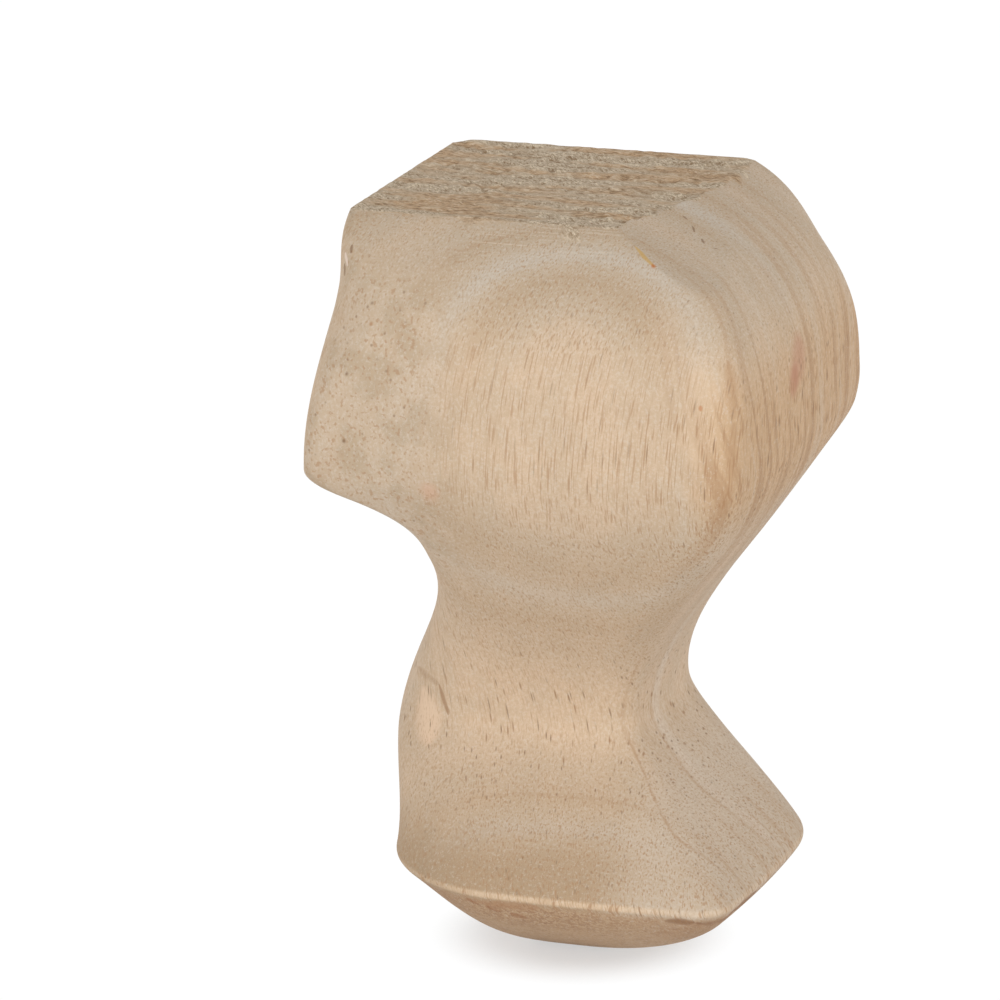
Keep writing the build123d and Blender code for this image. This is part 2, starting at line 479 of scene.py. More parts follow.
class Nodes:
    """A node tree under construction, with one method that adds any node."""

    def __init__(self, tree):
        self.tree = tree
        self.tree.nodes.clear()

    def node(self, kind, settings, sockets, output=0):
        """A node of a kind: its settings are set first, then the values or links of its sockets."""
        node = self.tree.nodes.new(kind)
        for name, setting in settings.items():
            if name == "stops":
                set_stops(node.color_ramp, setting)
            else:
                setattr(node, name, setting)
        for name, term in sockets.items():
            join(term, node.inputs[name])
        return Value(node.outputs[output]) if node.outputs else None

    def vector_math(self, operation, *terms, output=0):
        return self.node("ShaderNodeVectorMath", {"operation": operation}, dict(enumerate(terms)), output)

    def place(self):
        """The point in the wood, in millimetres from the middle of the sole."""
        point = self.node("ShaderNodeTexCoord", {}, {}, "Object")
        return self.vector_math("DIVIDE", point, (MM, MM, MM))

    def parts(self, vector):
        return [self.node("ShaderNodeSeparateXYZ", {}, {0: vector}, axis) for axis in "XYZ"]

    def vector(self, x, y, z):
        return self.node("ShaderNodeCombineXYZ", {}, {0: x, 1: y, 2: z})

    def attribute(self, name):
        return self.node("ShaderNodeAttribute", {"attribute_name": name}, {}, "Fac")

    def noise(self, place, cells, detail=2.0, roughness=0.5, output=0):
        """Noise at a point or at three values, with so many cells in each millimetre of each of them."""
        if isinstance(place, Value):
            vector = self.vector_math("MULTIPLY", place, cells)
        else:
            vector = self.vector(*(value * count for value, count in zip(place, cells)))
        sockets = {"Vector": vector, "Scale": 1.0, "Detail": detail, "Roughness": roughness}
        return self.node("ShaderNodeTexNoise", {}, sockets, output)

    def rise(self, value, span):
        """A smooth step from 0 at the span's start to 1 at its end."""
        sockets = {"Value": value, "From Min": span[0], "From Max": span[1]}
        return self.node("ShaderNodeMapRange", {"interpolation_type": "SMOOTHSTEP"}, sockets)

    def fall(self, value, span):
        """A smooth step from 1 at the span's start to 0 at its end."""
        return 1 - self.rise(value, span)

    def band(self, value, middle, fade):
        """1 round a middle value, and 0 away from it: the fade gives the two distances."""
        return self.fall(abs(value - middle), fade)

    def mix(self, share, first, second, blend="MIX"):
        """A colour that goes from the first to the second, or to their product, with the share."""
        settings = {"data_type": "RGBA", "blend_type": blend}
        return self.node("ShaderNodeMix", settings, {0: share, 6: first, 7: second}, 2)

    def spindles(self, x, y, z, across, length, fade):
        """Slim spindles along z round scattered points, some stronger than others.

        Each is full near its point and gone past it: the fade is in shares of the space between points.
        """
        cells = self.vector(x / across, y / across, z / length)
        near = self.node("ShaderNodeTexVoronoi", {}, {"Vector": cells, "Scale": 1.0, "Randomness": 1.0})
        chance = self.parts(Value(near.socket.node.outputs["Color"]))[0]
        return self.fall(near, fade) * self.rise(chance, SPINDLE_CHANCE)

    def streak(self, point, start, end, width, strength):
        """A soft spindle from start to end: the strength along its middle, easing to 0 at its width.

        It is an ellipse with its foci at the two ends, so what counts is the sum of the distances to them.
        """
        length = math.dist(start, end)
        to_start = self.vector_math("DISTANCE", point, start, output="Value")
        to_end = self.vector_math("DISTANCE", point, end, output="Value")
        sockets = {"Value": to_start + to_end, "From Min": length, "From Max": math.hypot(length, 2 * width)}
        sockets |= {"To Min": strength, "To Max": 0.0}
        return self.node("ShaderNodeMapRange", {"interpolation_type": "SMOOTHSTEP"}, sockets)


def set_stops(ramp, stops):
    """A ramp's stops, each a position and a colour, with eased steps between them."""
    ramp.interpolation = "EASE"
    for position, color in stops[2:]:
        ramp.elements.new(position)
    for element, (position, color) in zip(ramp.elements, stops):
        element.position = position
        element.color = color


def tint(red, green, blue):
    """A colour written as it looks on screen, from 0 to 255, made linear for the shader."""
    channels = [channel / 255 for channel in (red, green, blue)]
    linear = [c / 12.92 if c <= 0.04045 else ((c + 0.055) / 1.055) ** 2.4 for c in channels]
    return (*linear, 1.0)


def total_share(shares, places):
    """A colour's share: the first is for everywhere, and each place adds its own to it."""
    everywhere, *extras = shares
    return sum((place * extra for place, extra in zip(places, extras)), everywhere)


# Wood colours

CREAM = tint(213, 187, 159)
PALE = tint(211, 198, 181)
TAN = tint(202, 180, 154)
BROWN = tint(191, 165, 135)
WARM = tint(200, 158, 112)
# brown of the foot's lower front, partly the wood's tone and partly painted shade
FOOT_BROWN_AND_SHADE = tint(163, 136, 105)
END_SHADE = tint(238, 244, 250)
# painted shade for the underside below the lip
UNDERSIDE_SHADE = tint(192, 159, 125)
DARK_UNDERSIDE = tint(152, 109, 73)
# painted highlight, on the lip's ridge and along the knee's arris
PAINTED_HIGHLIGHT = tint(225, 198, 167)
LIP_PORE = tint(158, 106, 58)
VESSEL = tint(170, 129, 91)
BROWN_VESSEL = tint(146, 104, 64)
DARK_VESSEL = tint(116, 80, 48)
TORN_BASE = tint(191, 173, 149)
# painted highlight on the torn top's raised strands
TORN_STRAND_HIGHLIGHT = tint(227, 210, 184)
# painted shade in the torn top's gaps and saw furrows
TORN_SHADE = tint(142, 115, 83)
TORN_PATCH = tint(192, 160, 126)
SCRATCH = tint(215, 199, 178)
LIGHT_LAYER = tint(222, 209, 194)
NICK = tint(226, 206, 190)
ARRIS_BROWN = tint(182, 146, 110)
RED_DAB = tint(152, 98, 60)

# In the values below a pair is a span: what it belongs to comes in or goes out between its two ends.
# Lengths and places are in millimetres, a share says how much of a colour shows, and noise is given by its
# cells per millimetre. Where a place has STEADY for a coordinate, the noise is the same all along that axis.
STEADY = 1.0
SPINDLE_CHANCE = (0.0, 0.7)

# Finish of the surface
TORN_EDGE = (0.25, 0.75)
TORN_RELIEF = 7.0
FIBRE_RELIEF = 0.4
BUMP_STRENGTH = 0.4
BUMP_DEPTH = 0.1 * MM
SANDED_ROUGHNESS = 0.7
TORN_ROUGHNESS = 0.9
SPECULAR = 0.3

# Turned grain: on the left of the front the grain turns to the face
TURNED_FACING = (0.45, 0.8)
TURNED_DEPTH = (-24.0, -16.0)
TURNED_SIDE = (-13.0, -2.0)

# Growth rings: the pith runs upright just in front of the knee, and the rings round it are wider from
# side to side, less so above the knee. A ring is a distance from the pith and a colour.
PITH = (9.0, -33.7)
RING_SQUASH = 0.45
RING_SQUASH_ABOVE = 0.3
RING_SQUASH_HEIGHT = (60.0, 88.0)
RING_SWAY = 1.6
RING_NOISE = {"cells": (0.07, 0.07, 0.03)}
RING_SPAN = 80.0
GROWTH_RINGS = [
    (0.0, CREAM), (5.0, CREAM), (6.5, TAN), (9.4, BROWN), (11.2, TAN), (13.0, PALE), (15.2, TAN),
    (16.9, BROWN), (18.6, TAN), (23.5, CREAM), (26.5, TAN), (29.0, BROWN), (30.2, TAN), (32.6, PALE),
    (36.0, TAN), (38.0, BROWN), (40.5, TAN), (44.0, CREAM), (48.0, BROWN), (51.0, TAN), (55.0, CREAM),
    (59.0, BROWN), (62.0, TAN), (68.0, CREAM), (72.0, BROWN), (80.0, TAN),
]

# How much the rings show: on the sides, more on the ends of the grain, and what turned grain, the right
# side and the place below the knee take away
SIDE_RINGS = 0.25
END_RINGS = 0.5
END_RINGS_FROM = (0.15, 0.6)
RING_LOSSES = (0.8, 0.6, 0.42)

# Thin brown lines at the end of some rings
GROWTH_LINES = [17.3, 29.4, 38.4, 48.4, 59.5]
LINE_NOISE = {"cells": (0.05, 4.0, 0.09)}
LINE_SEEN = (0.4, 0.65)
LINE_FADE = (0.05, 0.4)
LINE_SHARE = 0.25

# Broad tones: blotches, brown blotches on turned grain, a warm flank at the knee, grey ends of the grain
RIGHT_SIDE = (16.0, 26.0)
BELOW_KNEE = (58.0, 68.0)
BLOTCH_NOISE = {"cells": (0.2, 0.2, 0.16), "detail": 3.0}
BLOTCH_SEEN = (0.35, 0.65)
BLOTCH_SHARE = 0.7
TURNED_BLOTCH_SEEN = (0.46, 0.58)
TURNED_BLOTCH_SHARE = 0.75
FLANK_SIDE = (23.0, 30.0)
FLANK_HEIGHT = 74.0
FLANK_FADE = (5.0, 16.0)
FLANK_SHARE = 0.65
ENDS_SEEN = (0.2, 0.95)
ENDS_LOSS_BELOW = 0.4
ENDS_ON_TURNED = 0.9

# Foot: a heel on the right paled with painted light over its own paler tone, and a brown front, partly the
# wood's tone and partly painted shade
HEEL_SIDE = (8.0, 18.0)
HEEL_TOP = (30.0, 48.0)
HEEL_LIGHT_SHARE = 0.65
FOOT_TOP = (15.5, 23.5)
FOOT_SHARE = 0.8
FOOT_LOSS_ON_HEEL = 0.7

# Underside: painted shade all over it, deeper at the two tips; it is also spotted, and speckled below the
# lip, less so on the right
UNDER_TOP = (13.0, 14.3)
UNDER_SHADE_SHARE = 0.8
TIPS_MIDDLE = 5.0
TIPS_FROM = (8.0, 20.0)
TIP_SHADE_SHARE = 0.55
SPOT_NOISE = {"cells": (0.5, 0.5, 0.8), "detail": 3.0, "roughness": 0.7}
SPOT_SEEN = (0.5, 0.64)
SPOT_SHARE = 0.4
SPECKLE_NOISE = {"cells": (1.7, 1.7, 1.7), "roughness": 0.8}
SPECKLE_SEEN = (0.48, 0.55)
SPECKLE_HEIGHT = (8.0, 11.0)
SPECKLE_SIDE = (4.0, 18.0)
SPECKLE_LOSS = 0.6
SPECKLE_SHARE = 0.85

# Lip: a painted highlight along its ridge, less at the tips, with open pores across it
LIP_LINE = 14.6
LIP_FADE = (0.15, 0.6)
LIP_LOSS_AT_TIPS = 0.5
LIP_HIGHLIGHT_SHARE = 0.75
PORE_NOISE = {"cells": (1.5, 6.0, 0.25), "detail": 1.0}
PORE_SEEN = (0.6, 0.68)
PORE_LINE = 14.2
PORE_FADE = (0.4, 1.2)
PORE_SHARE = 0.6

# Growth layers on the right of the foot. A layer is how far in front of the sole's middle it starts,
# where it swings forward, and how far. The front one is a brown line, and the back one a pale streak with
# a brown line just in front of it. Noise breaks the lines up.
FRONT_LAYER = (7.9, (7.5, 21.0), 11.6)
BACK_LAYER = (0.1, (10.0, 19.0), 3.8)
LAYERS_TOP = (38.0, 46.0)
LAYERS_BOTTOM = (14.5, 18.0)
LAYERS_SIDE = (6.0, 8.5)
PALE_LAYER_FADE = (0.3, 1.6)
PALE_LAYER_SHARE = 0.42
FRONT_LINE_FADE = (0.05, 0.5)
FRONT_LINE_SHARE = 0.55
BACK_LINE = -1.7
BACK_LINE_FADE = (0.05, 0.6)
BACK_LINE_SHARE = 0.4
LAYER_NOISE = {"cells": (0.3, 0.3, 0.3)}
LAYER_SEEN = (0.35, 0.6)
LAYER_LEAST = 0.45

# Long streaks along the grain: the brown ones everywhere, more on the right and the flank, and pale ones
STREAK_NOISE = {"cells": (0.32, 2.0, 0.012), "detail": 3.0, "roughness": 0.7}
BROWN_STREAK_SEEN = (0.5, 0.6)
BROWN_STREAK_SHARES = (0.06, 0.28, 0.45)
PALE_STREAK_SEEN = (0.38, 0.48)
PALE_STREAK_SHARE = 0.3

# Fibres and mottle, fine all over
FIBRE_NOISE = {"cells": (3.2, 3.2, 0.25), "detail": 3.0, "roughness": 0.6}
FIBRE_SEEN = (0.4, 0.7)
FIBRE_SHARE = 0.25
MOTTLE_NOISE = {"cells": (2.6, 2.6, 2.0), "detail": 3.0, "roughness": 0.8}
BROWN_MOTTLE = (0.42, 0.66)
PALE_MOTTLE = (0.34, 0.5)
MOTTLE_SHARE = 0.45

# Sanding scratches on the front, just under the top
SCRATCH_NOISE = {"cells": (0.07, 2.0, 7.0), "detail": 3.0}
SCRATCH_SEEN = (0.5, 0.7)
SCRATCH_HEIGHT = (95.5, 98.0)
SCRATCH_MIDDLE = 3.0
SCRATCH_FADE = (6.0, 13.0)
SCRATCH_SHARE = 0.6

# The upright grain bows to one side, and swells with the knee
BOW_HEIGHT = 60.0
BOW = 0.0033
SWELL_HEIGHT = 75.0
SWELL_REACH = 12.0
SWELL = 0.013

# Vessels: soft ones are noise, and brown and dark ones are spindles, flattened from front to back
DASH_NOISE = {"cells": (5.2, 2.6, 0.22), "detail": 1.0}
DASH_SEEN = (0.52, 0.7)
DOT_NOISE = {"cells": (2.1, 0.25, 1.9), "detail": 1.0}
DOT_SEEN = (0.57, 0.7)
DARK_DASHES = {"across": 0.55, "length": 6.5, "fade": (0.06, 0.27)}
DARK_DASH_FLATTENED = 0.4
DARK_DOTS = {"across": 1.5, "length": 9.0, "fade": (0.05, 0.17)}
DARK_DOT_STRENGTH = 1.5
BROWN_DASHES = {"across": 0.75, "length": 5.0, "fade": (0.05, 0.23)}
BROWN_DASH_FLATTENED = 0.3

# Shares of the vessels: everywhere, and what the ankle, the right side, its upper part and the foot add
VESSEL_ANKLE = 33.0
VESSEL_ANKLE_FADE = (4.0, 12.0)
VESSEL_RIGHT_HEIGHT = (40.0, 56.0)
VESSEL_UPPER_RIGHT = (76.0, 88.0)
VESSEL_FOOT = (22.0, 34.0)
SOFT_SHARES = (0.52, -0.2, 0.2, -0.42, 0.08)
BROWN_SHARES = (0.1, 0.6)
DARK_SHARES = (0.32, 0.3, 0.3, -0.3, 0.12)

# Torn wood: swaying rows of long strands, rough rows of leaning tufts between them, and thin saw lines.
# The raised strands carry a painted highlight, and the gaps and saw lines painted shade
SWAY_NOISE = {"cells": (0.3, 0.5, 1.0)}
SWAY_REACH = 2.0
ROW_NOISE = {"cells": (0.05, 0.22, 3.0)}
ROUGH_ROWS = (0.42, 0.58)
PLAIN_ROWS = (0.4, 0.54)
PLAIN_ROW_SHARE = 0.9
STRAND_NOISE = {"cells": (0.8, 2.4, 1.0), "detail": 3.0, "roughness": 0.85}
STRAND_SEEN = (0.515, 0.59)
STRAND_HIGHLIGHT_SHARES = (0.55, 0.4)
TUFT_NOISE = {"cells": (2.4, 1.7, 1.0), "detail": 3.0, "roughness": 0.85}
TUFT_LEAN = 0.6
TUFT_SHARE = 0.15
SAW_LINE_NOISE = {"cells": (0.05, 1.1, 7.0)}
SAW_LINE_SEEN = (0.52, 0.62)
SAW_LINE_SHADE_SHARE = 0.3
GAP_SEEN = (0.405, 0.465)
GAP_SHADE_SHARE = 0.95

# Stains and marks are soft lines: start and end, width, colour and strength. Noise frays their edges.
FRAY_NOISE = {"cells": (0.6, 0.6, 0.4), "detail": 0.0, "output": "Color"}
FRAY_REACH = 0.5

# Stains, under the vessels: the red patch on the flank, brown on the arris, the pale lens on the ankle,
# a painted highlight along the knee's arris, a red spot on the wing, and dabs below the lip
STAINS = [
    ((31.6, -5.0, 84.0), (31.7, -8.0, 80.5), 3.6, tint(190, 142, 116), 0.6),
    ((31.7, -8.5, 81.0), (31.7, -9.5, 79.0), 2.6, tint(180, 122, 96), 0.6),
    ((29.2, -28.2, 88.0), (29.8, -28.8, 80.0), 1.3, ARRIS_BROWN, 0.55),
    ((29.8, -28.8, 80.0), (28.6, -28.2, 66.0), 1.3, ARRIS_BROWN, 0.55),
    ((-19.2, -7.6, 33.7), (-17.2, -11.0, 28.3), 3.1, tint(228, 199, 170), 0.75),
    # painted highlight along the knee's rounded arris
    ((26.0, -30.4, 86.0), (25.7, -31.0, 74.0), 3.6, PAINTED_HIGHLIGHT, 0.25),
    ((-9.4, -30.5, 68.4), (-9.4, -30.5, 67.4), 2.0, tint(207, 164, 137), 0.5),
    ((-6.4, -27.8, 13.3), (-4.9, -27.7, 12.8), 0.8, RED_DAB, 0.6),
    ((-3.6, -27.6, 12.7), (-2.0, -27.2, 12.0), 0.8, RED_DAB, 0.55),
    ((-0.4, -27.0, 11.7), (1.4, -26.6, 11.0), 0.9, RED_DAB, 0.55),
    ((20.5, -27.9, 13.2), (24.2, -27.4, 13.3), 0.9, tint(132, 90, 54), 0.7),
    ((-4.6, -28.0, 13.4), (4.0, -28.6, 13.6), 1.2, tint(172, 126, 90), 0.4),
    ((24.4, -27.0, 13.5), (27.8, -21.6, 13.5), 1.2, tint(128, 86, 52), 0.9),
    ((27.8, -21.6, 13.5), (28.0, -14.0, 13.5), 1.2, tint(134, 92, 56), 0.8),
]

# Marks, over the vessels: a bright streak on the arris, cracks by the lens, a dot on the knee, nicks by the
# top's left corner, dots on the left, and a broken line on the right of the top
MARKS = [
    ((13.9, -18.7, 98.4), (17.4, -21.6, 96.7), 0.4, tint(198, 160, 92), 0.8),
    ((17.2, -21.4, 96.8), (17.3, -21.5, 96.7), 0.45, tint(186, 112, 60), 0.9),
    ((-20.5, -5.3, 36.2), (-16.3, -9.2, 35.5), 0.8, BROWN_VESSEL, 0.3),
    ((-16.3, -9.2, 35.5), (-14.8, -10.1, 31.7), 0.5, BROWN_VESSEL, 0.6),
    ((-15.2, -9.9, 33.2), (-13.5, -11.6, 29.4), 0.4, BROWN_VESSEL, 0.65),
    ((26.2, -30.7, 81.9), (26.2, -30.7, 81.5), 0.4, tint(190, 128, 80), 0.7),
    ((-23.5, -21.5, 95.8), (-22.7, -23.0, 94.3), 0.35, NICK, 0.9),
    ((-22.6, -21.3, 96.7), (-22.4, -22.4, 95.7), 0.35, DARK_VESSEL, 0.6),
    ((-23.4, -22.3, 94.4), (-23.0, -23.2, 93.0), 0.35, DARK_VESSEL, 0.6),
    ((-17.7, -27.5, 91.0), (-17.7, -27.5, 91.0), 0.4, DARK_VESSEL, 0.9),
    ((-20.1, -30.8, 82.4), (-20.1, -30.8, 82.4), 0.4, DARK_VESSEL, 0.8),
    ((-14.6, -31.0, 83.3), (-14.6, -31.0, 83.3), 0.3, DARK_VESSEL, 0.7),
    ((-20.6, -30.8, 73.6), (-20.6, -30.8, 73.6), 0.4, DARK_VESSEL, 0.8),
    ((-17.4, -29.1, 88.7), (-17.4, -29.1, 88.7), 0.45, VESSEL, 0.9),
    ((15.6, -4.4, 99.1), (16.2, -4.9, 98.8), 0.25, DARK_VESSEL, 0.6),
    ((17.3, -6.0, 98.2), (18.1, -7.3, 97.8), 0.25, DARK_VESSEL, 0.65),
    ((19.3, -8.2, 97.3), (20.1, -9.4, 96.9), 0.25, DARK_VESSEL, 0.65),
    ((21.0, -9.5, 96.5), (21.7, -9.0, 96.3), 0.25, DARK_VESSEL, 0.6),
]


# Wood

def rubber_wood():
    """Raw rubber wood: sanded sides with growth rings and open vessels, and a torn top."""
    material = bpy.data.materials.new("rubber_wood")
    material.use_nodes = True
    wood = Nodes(material.node_tree)
    point = wood.place()
    x, y, z = wood.parts(point)
    color, fibres = sanded_wood(wood, point, x, y, z)
    torn_color, strands = torn_wood(wood, x, y, z)
    torn_here = wood.rise(wood.attribute("torn"), TORN_EDGE)
    color = wood.mix(torn_here, color, torn_color)
    relief = fibres * (1 - torn_here) + strands * torn_here * TORN_RELIEF
    sockets = {"Strength": BUMP_STRENGTH, "Distance": BUMP_DEPTH, "Height": relief}
    bump = wood.node("ShaderNodeBump", {}, sockets)
    roughness = SANDED_ROUGHNESS + torn_here * (TORN_ROUGHNESS - SANDED_ROUGHNESS)
    sockets = {"Base Color": color, "Roughness": roughness, "Normal": bump, "Specular IOR Level": SPECULAR}
    surface = wood.node("ShaderNodeBsdfPrincipled", {}, sockets)
    wood.node("ShaderNodeOutputMaterial", {}, {"Surface": surface})
    return material


def sanded_wood(wood, point, x, y, z):
    """The sanded wood's colour, laid on from broad tones to fine marks, and how its fibres rise."""
    crosswise = turned_grain(wood, x, y)
    right = wood.rise(x, RIGHT_SIDE)
    flank = wood.rise(x, FLANK_SIDE) * wood.band(z, FLANK_HEIGHT, FLANK_FADE)
    radius = ring_radius(wood, point, x, y, z)
    color = broad_tones(wood, point, z, radius, crosswise, right, flank)
    color = foot_tones(wood, color, x, z)
    color = underside_tones(wood, color, point, x, y, z)
    color = growth_lines(wood, color, radius, z)
    color = foot_layers(wood, color, point, x, y, z)
    color = streaked(wood, color, radius, z, right, flank)
    fibres = wood.noise(point, **FIBRE_NOISE)
    mottle = wood.noise(point, **MOTTLE_NOISE)
    color = wood.mix(wood.rise(fibres, FIBRE_SEEN) * FIBRE_SHARE, color, BROWN)
    color = wood.mix(wood.rise(mottle, BROWN_MOTTLE) * MOTTLE_SHARE, color, BROWN)
    color = wood.mix(wood.fall(mottle, PALE_MOTTLE) * MOTTLE_SHARE, color, PALE)
    color = marked(wood, color, point, STAINS)
    color = scratched(wood, color, x, z)
    color = with_vessels(wood, color, point, x, y, z, crosswise, right * wood.rise(z, VESSEL_RIGHT_HEIGHT))
    color = marked(wood, color, point, MARKS)
    return color, fibres * FIBRE_RELIEF + mottle * (1 - FIBRE_RELIEF)


def turned_grain(wood, x, y):
    """1 on the left of the front, where the grain turns to the face, and 0 where it runs upright."""
    forward = wood.rise(wood.attribute("facing_front"), TURNED_FACING) * wood.fall(y, TURNED_DEPTH)
    return wood.fall(x, TURNED_SIDE) * forward


def ring_radius(wood, point, x, y, z):
    """Distance from the pith in millimetres, squashed from side to side and swayed by slow noise."""
    squash = RING_SQUASH + wood.rise(z, RING_SQUASH_HEIGHT) * RING_SQUASH_ABOVE
    off_x, off_y = (x - PITH[0]) * squash, y - PITH[1]
    sway = wood.noise(point, **RING_NOISE) - 0.5
    return (off_x * off_x + off_y * off_y) ** 0.5 + sway * RING_SWAY


def broad_tones(wood, point, z, radius, crosswise, right, flank):
    """Blotches, the growth rings, the warm flank, and the greyer ends of the grain."""
    ends = wood.attribute("end_grain")
    below_knee = wood.fall(z, BELOW_KNEE)
    blotches = wood.noise(point, **BLOTCH_NOISE)
    color = wood.mix(wood.rise(blotches, BLOTCH_SEEN) * BLOTCH_SHARE, CREAM, TAN)
    turned_blotches = wood.rise(blotches, TURNED_BLOTCH_SEEN) * crosswise
    color = wood.mix(turned_blotches * TURNED_BLOTCH_SHARE, color, BROWN)
    stops = [(ring / RING_SPAN, ring_color) for ring, ring_color in GROWTH_RINGS]
    rings = wood.node("ShaderNodeValToRGB", {"stops": stops}, {"Fac": radius / RING_SPAN})
    ring_share = SIDE_RINGS + wood.rise(ends, END_RINGS_FROM) * END_RINGS
    for place, loss in zip((crosswise, right, below_knee), RING_LOSSES):
        ring_share = ring_share * (1 - place * loss)
    color = wood.mix(ring_share, color, rings)
    color = wood.mix(flank * FLANK_SHARE, color, WARM)
    ends_seen = wood.rise(ends, ENDS_SEEN) * (1 - below_knee * ENDS_LOSS_BELOW)
    ends_seen = ends.math("MAXIMUM", ends_seen, crosswise * ENDS_ON_TURNED)
    return wood.mix(ends_seen, color, END_SHADE, "MULTIPLY")


def foot_tones(wood, color, x, z):
    """The heel on the right, paled with painted light over its own paler tone, and the brown front of the
    foot, partly the wood's tone and partly painted shade.
    """
    heel = wood.rise(x, HEEL_SIDE) * wood.fall(z, HEEL_TOP)
    # painted light: the heel on the right is paled where less light reaches it, over its own paler tone
    color = wood.mix(heel * HEEL_LIGHT_SHARE, color, PALE)
    foot = wood.fall(z, FOOT_TOP) * (1 - heel * FOOT_LOSS_ON_HEEL)
    # partly painted shade: the foot's lower front is browned down to the lip
    return wood.mix(foot * FOOT_SHARE, color, FOOT_BROWN_AND_SHADE)


def underside_tones(wood, color, point, x, y, z):
    """The spotted and speckled underside under painted shade, and the lip with a painted highlight along its
    ridge and pores across it.
    """
    under = wood.fall(z, UNDER_TOP)
    tips = wood.rise(abs(x - TIPS_MIDDLE), TIPS_FROM)
    # painted shade: the whole underside below the lip is darkened
    color = wood.mix(under * UNDER_SHADE_SHARE, color, UNDERSIDE_SHADE)
    spots = wood.rise(wood.noise(point, **SPOT_NOISE), SPOT_SEEN)
    # painted shade, deeper at the two tips, mixed with the wood's own dark spots
    color = wood.mix(under * (tips * TIP_SHADE_SHARE + spots * SPOT_SHARE), color, DARK_UNDERSIDE)
    speckles = wood.rise(wood.noise(point, **SPECKLE_NOISE), SPECKLE_SEEN)
    speckled = under * wood.rise(z, SPECKLE_HEIGHT) * (1 - wood.rise(x, SPECKLE_SIDE) * SPECKLE_LOSS)
    color = wood.mix(speckles * speckled * SPECKLE_SHARE, color, DARK_UNDERSIDE)
    lip_highlight = wood.band(z, LIP_LINE, LIP_FADE) * (1 - tips * LIP_LOSS_AT_TIPS)
    # painted highlight along the lip's ridge
    color = wood.mix(lip_highlight * LIP_HIGHLIGHT_SHARE, color, PAINTED_HIGHLIGHT)
    pores = wood.rise(wood.noise((x - y, STEADY, z), **PORE_NOISE), PORE_SEEN)
    return wood.mix(pores * wood.band(z, PORE_LINE, PORE_FADE) * PORE_SHARE, color, LIP_PORE)


def growth_lines(wood, color, radius, z):
    """Thin brown lines at the end of some rings, which fade in and out up the grain."""
    seen = wood.rise(wood.noise((radius, STEADY, z), **LINE_NOISE), LINE_SEEN)
    for ring in GROWTH_LINES:
        color = wood.mix(wood.band(radius, ring, LINE_FADE) * seen * LINE_SHARE, color, VESSEL)
    return color


def foot_layers(wood, color, point, x, y, z):
    """Growth layers that stand upright and swing forward, cut by the right of the foot."""
    layers = (FRONT_LAYER, BACK_LAYER)
    front, back = [y + start + wood.rise(x, span) * swing for start, span, swing in layers]
    foot = wood.fall(z, LAYERS_TOP) * wood.rise(z, LAYERS_BOTTOM) * wood.rise(x, LAYERS_SIDE)
    color = wood.mix(wood.band(back, 0.0, PALE_LAYER_FADE) * foot * PALE_LAYER_SHARE, color, LIGHT_LAYER)
    lines = wood.band(front, 0.0, FRONT_LINE_FADE) * FRONT_LINE_SHARE
    lines = lines + wood.band(back, BACK_LINE, BACK_LINE_FADE) * BACK_LINE_SHARE
    seen = LAYER_LEAST + wood.rise(wood.noise(point, **LAYER_NOISE), LAYER_SEEN) * (1 - LAYER_LEAST)
    return wood.mix(lines * foot * seen, color, VESSEL)


def streaked(wood, color, radius, z, right, flank):
    """Long streaks along the grain, brown ones and pale ones."""
    streaks = wood.noise((radius, STEADY, z), **STREAK_NOISE)
    brown_share = total_share(BROWN_STREAK_SHARES, (right, flank))
    color = wood.mix(wood.rise(streaks, BROWN_STREAK_SEEN) * brown_share, color, VESSEL)
    return wood.mix(wood.fall(streaks, PALE_STREAK_SEEN) * right * PALE_STREAK_SHARE, color, PALE)


def scratched(wood, color, x, z):
    """Pale level scratches that the sanding left on the front, just under the top."""
    lines = wood.rise(wood.noise((x, STEADY, z), **SCRATCH_NOISE), SCRATCH_SEEN)
    where = wood.rise(z, SCRATCH_HEIGHT) * wood.band(x, SCRATCH_MIDDLE, SCRATCH_FADE)
    return wood.mix(lines * where * SCRATCH_SHARE, color, SCRATCH)


def with_vessels(wood, color, point, x, y, z, crosswise, right):
    """The open vessels: dashes along the grain and dots across it, soft everywhere and fewer brown and dark.

    The upright grain bows to one side and swells a little with the knee. On the left of the front
    it turns to the face, so the vessels there lie from front to back.
    """
    upright = 1 - crosswise
    bow = z - BOW_HEIGHT
    grain_x = x - bow * bow * BOW
    swell = z - SWELL_HEIGHT
    swell = swell.math("MAXIMUM", swell.math("MINIMUM", swell, SWELL_REACH), -SWELL_REACH)
    grain_y = y - swell * swell * SWELL
    dashes = wood.rise(wood.noise((grain_x, grain_y, z), **DASH_NOISE), DASH_SEEN)
    dots = wood.rise(wood.noise(point, **DOT_NOISE), DOT_SEEN)
    soft = dashes * upright + dots * crosswise
    brown = wood.spindles(grain_x, grain_y * BROWN_DASH_FLATTENED, z, **BROWN_DASHES) * upright
    dark_dashes = wood.spindles(grain_x, grain_y * DARK_DASH_FLATTENED, z, **DARK_DASHES)
    dark_dots = wood.spindles(x, z, y, **DARK_DOTS) * DARK_DOT_STRENGTH
    dark = dark_dashes * upright + dark_dots * crosswise
    ankle = wood.band(z, VESSEL_ANKLE, VESSEL_ANKLE_FADE)
    places = (ankle, right, right * wood.rise(z, VESSEL_UPPER_RIGHT), wood.fall(z, VESSEL_FOOT))
    color = wood.mix(soft * total_share(SOFT_SHARES, places), color, VESSEL)
    color = wood.mix(brown * total_share(BROWN_SHARES, places), color, BROWN_VESSEL)
    return wood.mix(dark * total_share(DARK_SHARES, places), color, DARK_VESSEL)


